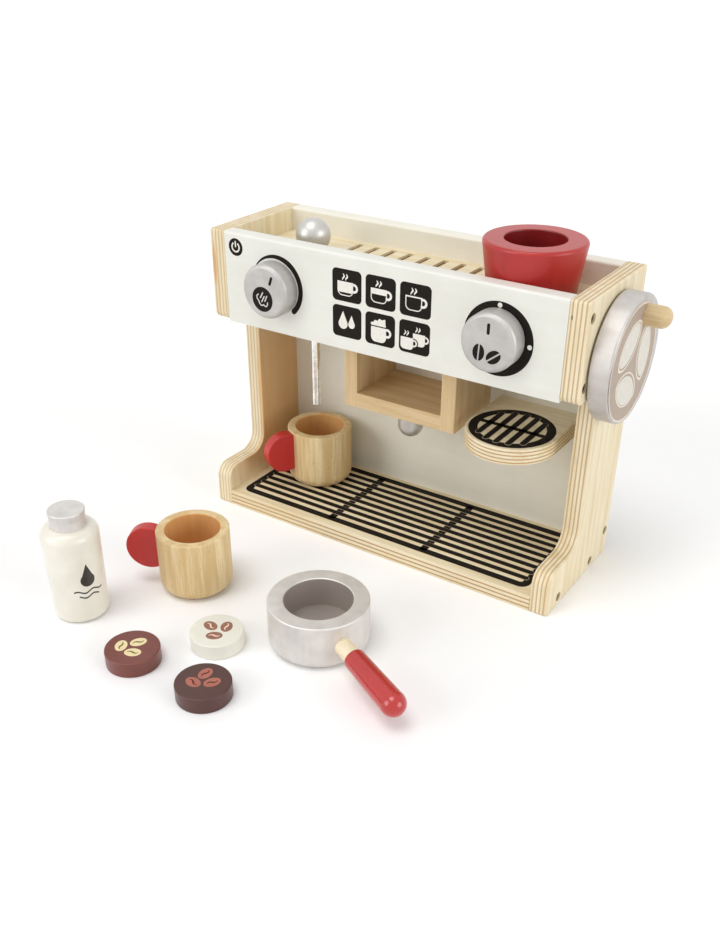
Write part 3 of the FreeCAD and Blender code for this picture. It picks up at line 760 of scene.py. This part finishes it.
def polished_metal(name, colour):
    """Drawn metal rod: fine lines round it and a slight cloud."""
    finish = Finish(name, {"Metallic": 1.0})
    lines = finish.noise(finish.place((0, 0, 0), (0.3, 0.3, 9.0)), 1.0, 2.0)
    cloud = finish.noise(finish.place(), 0.2, 2.0)
    shade = [value - 22 for value in colour]
    tone = finish.mix(finish.ramp(cloud, 0.35, 0.65), srgb(*colour), srgb(*shade))
    return finish.close(tone, 0.14 + lines * 0.14, lines, 0.006)


beech_tones = ((232, 210, 168), (216, 186, 138), (180, 140, 92))
turned_beech = solid_wood("turned_beech", z_axis, *beech_tones, shift=(31, 7, 3))
dress("steam_wand_rod", polished_metal("wand_metal", (252, 250, 246)))
dress("steam_wand_ball", satin_silver)
dress("steam_wand_stop_collar", turned_beech)

# Front knobs: turned discs with a softly rounded front edge, each glued to a beech spindle.
# The left one carries a printed steam sign and the right one two coffee beans; each has a pointer line.
across_beech = solid_wood("across_beech", y_axis, *beech_tones, shift=(17, 2, 9))
knob_silver = silver_paint("knob_silver", (197, 194, 191), metallic=0.5, roughness=0.4, along=x_axis)
for knob in ("steam_knob", "bean_knob"):
    dress(knob, knob_silver)
    dress(knob + "_spindle", across_beech)
knob_face = sheet_place((0, edges_of("bean_knob")[0].y, 0), (1, 0, 0), (0, 0, 1))

pointer_width = 1.9
steam_disc_x, steam_disc_z, steam_disc_radius = -80.8, 164.3, 8.1
ink("steam_knob_marks", [
    [disc(steam_disc_x, steam_disc_z, steam_disc_radius)],
    [brush([(-74.5, 175.2), (-73.0, 179.2)], [pointer_width] * 2)],
], black_ink, knob_face, "steam_knob")
cloud_line = 0.8
cloud = [(-83.9, 167.2), (-85.2, 166.2), (-85.0, 164.4), (-83.9, 163.2), (-83.2, 161.6), (-82.0, 160.3),
         (-80.8, 160.3), (-80.0, 161.1), (-79.0, 160.2), (-77.6, 160.2), (-76.8, 161.4), (-76.7, 162.7)]
ink("steam_knob_sign", [
    [brush(cloud, [cloud_line] * len(cloud))],
    [brush([(-82.3, 165.3), (-80.3, 168.8)], [cloud_line] * 2)],
    [brush([(-81.3, 162.8), (-79.2, 166.5)], [cloud_line] * 2)],
    [brush([(-78.8, 163.4), (-77.1, 167.0)], [cloud_line] * 2)],
], silver_paint("silver_ink", (214, 212, 209), 0.3, 0.45), knob_face, "steam_knob", layer=2)


def half_bean(x, y, angle, side, length=10.0, width=7.4, slit=0.95):
    """One half of a coffee bean: an oval cut along its length by a straight slit."""
    half = length / 2
    points = []
    for step in range(25):
        turn = math.radians(-90 + 180 * step / 24)
        across = max(slit / 2, width / 2 * math.cos(turn))
        points.append(Vector((across * side, half * math.sin(turn))))
    spin = Matrix.Rotation(math.radians(angle), 2)
    return [[spin @ point + Vector((x, y)) for point in points]]


ink("bean_knob_marks", [
    *[half_bean(74.5, 163.0, -3, side) for side in (-1, 1)],
    *[half_bean(84.0, 161.9, -52, side) for side in (-1, 1)],
    [brush([(79.8, 175.4), (79.8, 180.2)], [pointer_width] * 2)],
], black_ink, knob_face, "bean_knob")

# Crank: a silver painted wheel on a beech axle through the right side panel, with a turned beech peg.
# Printed on its face, on a taupe ground: a pale ring and three pale petals, each with a fine line round it.
dress("crank_wheel", silver_paint(
    "wheel_silver", (206, 201, 197), metallic=0.6, roughness=0.42, along=x_axis))
crank_beech = solid_wood(
    "crank_beech", x_axis, (218, 197, 155), (202, 175, 130), (178, 140, 96), (9, 21, 4))
dress("crank_peg", crank_beech)
dress("crank_axle", crank_beech)
print_shift_y, print_shift_z = -3.0, -0.8
wheel_middle = middle_of("crank_wheel")
wheel_face = sheet_place(
    (edges_of("crank_wheel")[1].x, wheel_middle.y + print_shift_y, wheel_middle.z + print_shift_z),
    (0, 1, 0), (0, 0, 1))
taupe_ink = ink_finish("taupe_ink", (179, 163, 149), (169, 153, 139), 0.38)
petal_ink = ink_finish("petal_ink", (221, 216, 206), (212, 207, 197), 0.42)
line_ink = ink_finish("line_ink", (232, 222, 205), (222, 212, 196), 0.45)
ring_radius, ring_width = 34.8, 0.9
ink("wheel_ground", [[disc(0, 0, ring_radius, 96)]], taupe_ink, wheel_face, "crank")
ink("wheel_ring", [[disc(0, 0, ring_radius, 96), disc(0, 0, ring_radius - ring_width, 96)]],
    line_ink, wheel_face, "crank", layer=2)


def stamp_group():
    """Copies of one stamp on the points of a mesh, each turned by the point's own angle."""
    group = bpy.data.node_groups.new("turned_stamps", "GeometryNodeTree")
    input_names(group, {"Points": "Geometry", "Stamp": "Object", "Ink": "Material"})
    tree = Tree(group)
    given = tree.node("NodeGroupInput")
    angle = tree.node(
        "GeometryNodeInputNamedAttribute", {"data_type": "FLOAT"}, {"Name": "turn"}, out="Attribute")
    turn = tree.node("ShaderNodeCombineXYZ", {}, {"Z": angle})
    stamp = tree.node("GeometryNodeObjectInfo", {}, {"Object": given["Stamp"]}, out="Geometry")
    copies = tree.node("GeometryNodeInstanceOnPoints", {}, {
        "Points": given["Points"], "Instance": stamp, "Rotation": turn})
    solid = tree.node("GeometryNodeRealizeInstances", {}, {"Geometry": copies})
    painted = tree.node("GeometryNodeSetMaterial", {}, {"Geometry": solid, "Material": given["Ink"]})
    tree.node("NodeGroupOutput", {}, {"Geometry": painted})
    return group


turned_stamps = stamp_group()


def stamped(name, shapes, spots, material, place, body, layer=1):
    """One drawing printed at several spots (x, y, degrees)."""
    drawing = print_mesh(name, shapes, ink_thickness * layer + ink_sink)
    holder = bpy.data.objects.new(name + "_stamp", drawing)
    bpy.context.scene.collection.objects.link(holder)
    points = bpy.data.meshes.new(name + "_points")
    points.from_pydata([(x, y, 0) for x, y, angle in spots], [], [])
    turns = points.attributes.new("turn", "FLOAT", "POINT")
    turns.data.foreach_set("value", [math.radians(angle) for x, y, angle in spots])
    mesh = grown(name, turned_stamps, {"Stamp": holder, "Ink": material}, points)
    bpy.data.objects.remove(holder)
    mesh.transform(place)
    piece(name, mesh, material, body)


def petal(near, far, side):
    """An oval with narrow ends, which lies across the spoke between two distances from the hub."""
    middle = (near + far) / 2
    return [Vector((middle + point.x * abs(point.x) ** 0.25, point.y * side))
            for point in oval(0, 0, (middle - near) ** 0.8, 1)]


petal_spots = [(0, 0, angle) for angle in (125, 5, -115)]
line_width = 0.8
line_near, line_far, line_side = 5.4, 26.2, 18.0
stamped("wheel_petal_lines", [[
    petal(line_near, line_far, line_side),
    petal(line_near + line_width, line_far - line_width, line_side - 2 * line_width),
]], petal_spots, line_ink, wheel_face, "crank", layer=2)
stamped("wheel_petals", [[petal(7.8, 25.0, 15.6)]], petal_spots, petal_ink, wheel_face, "crank", layer=2)

# Filter holder: a turned cup, silver painted inside and out, on a bare beech dowel.
# The round-ended grip is turned and painted gloss red.
# Painted shade: the silver is darkened inside the cup's bore.
holder_bore_shade = (middle_of("filter_holder_cup"), 20.9, (176, 167, 160))
dress("filter_holder_cup", silver_paint(
    "holder_silver", (224, 220, 215), metallic=0.5, roughness=0.38, bore=holder_bore_shade))
dress("filter_holder_dowel", solid_wood(
    "pale_dowel", x_axis, (240, 228, 200), (226, 207, 170), (190, 158, 112), (2, 14, 6)))
dress("filter_holder_grip", painted_wood(
    "gloss_red", (190, 42, 38), (178, 36, 33), x_axis, 0.2, coat=0.6, depth=0.03, pits=0.5))

# Two cups: turned from one piece of rubberwood each, with the grain upright, clear lacquered.
# Each has a disc let into its wall for a handle, painted satin red.
cup_bore_radius = 18.1
handle_red = painted_wood(
    "handle_red", (194, 44, 39), (182, 38, 34), z_axis, 0.36, coat=0.12, depth=0.04)
for cup, shift in (("tray_cup", (3, 19, 8)), ("table_cup", (3, 19, 9))):
    # Painted shade: inside each cup's bore the wood is darkened to a warm brown.
    cup_bore_shade = (middle_of(cup), cup_bore_radius, (228, 168, 98))
    dress(cup, solid_wood(cup + "_wood", z_axis, (232, 211, 166), (212, 181, 128), (160, 116, 70),
                          shift, (0.38, 0.66), cup_bore_shade))
    dress(cup + "_handle", handle_red)

# Milk bottle: turned wood painted glossy cream, with a silver painted cap glued into the neck.
# A drop over two ripples is printed on the side that faces the front.


def printed_bottle():
    """Gloss cream paint, with the mark drawn by how far round and how high a point lies."""
    finish = Finish("bottle_cream", {
        "Specular IOR Level": 0.5, "Coat Weight": 0.35, "Coat Roughness": 0.12})
    middle = middle_of("milk_bottle")
    facing = math.radians(18)
    x, y, z = finish.axes(centre=(middle.x, middle.y, 0), turn=(0, 0, facing))
    radius = 17.2
    across = finish.node("ShaderNodeMath", {"operation": "ARCTAN2"}, {0: y, 1: x}) * radius
    front = x > 0
    drop_z, drop_radius, drop_tip = 31.5, 4.6, 43.0
    in_round = (across ** 2 + (z - drop_z) ** 2) < drop_radius ** 2
    slope = drop_radius / (drop_tip - drop_z)
    in_point = (abs(across) < (drop_tip - z) * slope * 0.98) * (z > drop_z + drop_radius * 0.35)
    mark = in_round + in_point
    ripple_pace, ripple_height, ripple_half_line = 0.62, 0.9, 0.55
    wave = finish.node("ShaderNodeMath", {"operation": "SINE"}, {0: across * ripple_pace}) * ripple_height
    for level, reach in ((23.5, 9.5), (20.0, 6.5)):
        mark = mark + (abs(z - level - wave) < ripple_half_line) * (abs(across) < reach)
    printed = (mark > 0.5) * front
    cloud = finish.noise(finish.place(), 0.04, 3.0)
    peel = finish.noise(finish.place(), 1.1, 2.0)
    cream = finish.mix(finish.ramp(cloud, 0.35, 0.65), srgb(234, 230, 218), srgb(226, 221, 207))
    colour = finish.mix(printed, cream, srgb(44, 39, 34))
    return finish.close(colour, 0.26 + peel * 0.08 + printed * 0.12, peel, 0.03)


dress("milk_bottle", printed_bottle())
dress("milk_bottle_cap", silver_paint("cap_silver", (220, 216, 212), metallic=0.5, roughness=0.4))

# Coffee pucks: turned discs painted brown, dark brown and cream, with three beans printed on each top.
# A bean is an oval with a bent line along it.
puck_paints = {
    "brown": painted_wood("puck_brown", (120, 64, 54), (110, 56, 47), x_axis, 0.32, coat=0.1),
    "dark": painted_wood("puck_dark", (82, 48, 42), (74, 42, 36), x_axis, 0.32, coat=0.1),
    "white": painted_wood("puck_cream", (236, 235, 223), (228, 226, 212), x_axis, 0.34, coat=0.1),
}
bean_inks = {
    "brown": ink_finish("cream_bean_ink", (238, 222, 176), (230, 212, 164), 0.45),
    "dark": ink_finish("clay_bean_ink", (180, 116, 101), (170, 106, 92), 0.45),
    "white": ink_finish("brown_bean_ink", (158, 116, 98), (148, 106, 88), 0.45),
}
bean_line_inks = {
    "brown": ink_finish("olive_line_ink", (120, 104, 58), (110, 94, 50), 0.45),
    "dark": ink_finish("dark_line_ink", (96, 50, 40), (88, 44, 36), 0.45),
    "white": ink_finish("peach_line_ink", (250, 222, 206), (244, 214, 196), 0.45),
}
bean_spots = {
    "brown": [(-6.7, 1.2, 88), (2.8, 4.6, 24), (1.2, -5.0, -5)],
    "dark": [(0.5, 6.6, 58), (-5.4, -0.8, -42), (5.2, -1.0, 27)],
    "white": [(-4.2, 4.4, -48), (5.5, 3.4, 84), (-0.9, -5.3, 0)],
}
turn = math.radians(33.93)
bean_length, bean_width = 10.0, 7.2
bean = oval(0, 0, bean_length / 2, bean_width / 2, 32)
line_count = 12
line_length, line_bend, line_ends, line_swell = 6.6, 0.75, 0.25, 0.75
shares = [step / line_count for step in range(line_count + 1)]
bean_line = brush(
    [(line_length * (share - 0.5), line_bend * math.sin(math.tau * share)) for share in shares],
    [line_ends + line_swell * math.sin(math.pi * share) for share in shares])
for tone in ("brown", "dark", "white"):
    node = "coffee_puck_" + tone
    dress(node, puck_paints[tone])
    middle = middle_of(node)
    top = sheet_place((middle.x, middle.y, edges_of(node)[1].z), (math.cos(turn), math.sin(turn), 0),
                      (-math.sin(turn), math.cos(turn), 0))
    body = tone + "_puck"
    stamped(tone + "_puck_beans", [[bean]], bean_spots[tone], bean_inks[tone], top, body)
    stamped(tone + "_puck_bean_lines", [[bean_line]], bean_spots[tone], bean_line_inks[tone], top, body,
            layer=2)

# Floor: a seamless white sheet under the toys, wide enough to reach past the view.
# It is plain paper with a faint tooth.


def paper_white():
    """Matt white paper."""
    finish = Finish("paper_white", {"Specular IOR Level": 0.1})
    tooth = finish.noise(finish.place(), 0.05, 2.0)
    colour = finish.mix(tooth, srgb(254, 254, 254), srgb(252, 252, 252))
    return finish.close(colour, 0.8 + tooth * 0.1)


floor_reach = 12.0
floor_mesh = bpy.data.meshes.new("floor")
floor_corners = [(x * floor_reach, y * floor_reach, 0) for x, y in ((-1, -1), (1, -1), (1, 1), (-1, 1))]
floor_mesh.from_pydata(floor_corners, [], [(0, 1, 2, 3)])
floor_mesh.materials.append(paper_white())
floor = bpy.data.objects.new("floor", floor_mesh)
bpy.context.scene.collection.objects.link(floor)

# Light: a pale room that looks white to the eye and in reflections, and three broad soft lamps.
# One stands low at the left of the front, one is overhead and one is at the right.
world = bpy.data.worlds.new("pale_room")
world.use_nodes = True
bpy.context.scene.world = world
room = Tree(world.node_tree)
seen = room.node("ShaderNodeLightPath")
direct = room.node("ShaderNodeMath", {"operation": "MAXIMUM"}, {0: seen, 1: seen["Is Glossy Ray"]})
background = world.node_tree.nodes["Background"]
background.inputs["Color"].default_value = (1, 1, 1, 1)
room_level = 0.58
world.node_tree.links.new((room_level + direct * (1 - room_level)).socket, background.inputs["Strength"])


def soft_lamp(name, towards, strength, spread=34):
    """A lamp far away in one direction, as wide as a soft box."""
    lamp = bpy.data.lights.new(name, "SUN")
    lamp.energy = strength
    lamp.angle = math.radians(spread)
    held = bpy.data.objects.new(name, lamp)
    held.rotation_euler = Vector(towards).to_track_quat("Z", "Y").to_euler()
    bpy.context.scene.collection.objects.link(held)


soft_lamp("left_front_lamp", (-0.5, -0.78, 0.38), 0.88)
soft_lamp("overhead_lamp", (-0.1, -0.25, 0.96), 1.0)
soft_lamp("right_lamp", (0.97, 0.0, 0.25), 0.95)

# Camera: the photograph's place and angle, above the toys and to their right.
# The shift stands for the photograph's crop.
camera_data = bpy.data.cameras.new("camera")
camera = bpy.data.objects.new("camera", camera_data)
bpy.context.scene.collection.objects.link(camera)
camera.location = (0.31756, -0.54047, 0.37701)
camera_pitch, camera_turn = 31.58, 33.93
camera.rotation_euler = (math.radians(90 - camera_pitch), 0, math.radians(camera_turn))
photo_width, photo_height = 720, 928
focal_pixels = 1009.05
centre_column, centre_row = 355.67, 528.49
sensor_size = 36
camera_data.sensor_width = sensor_size
camera_data.lens = sensor_size * focal_pixels / photo_height
camera_data.shift_x = (photo_width / 2 - centre_column) / photo_height
camera_data.shift_y = (centre_row - photo_height / 2) / photo_height
bpy.context.scene.camera = camera
bpy.context.scene.view_settings.view_transform = "Standard"
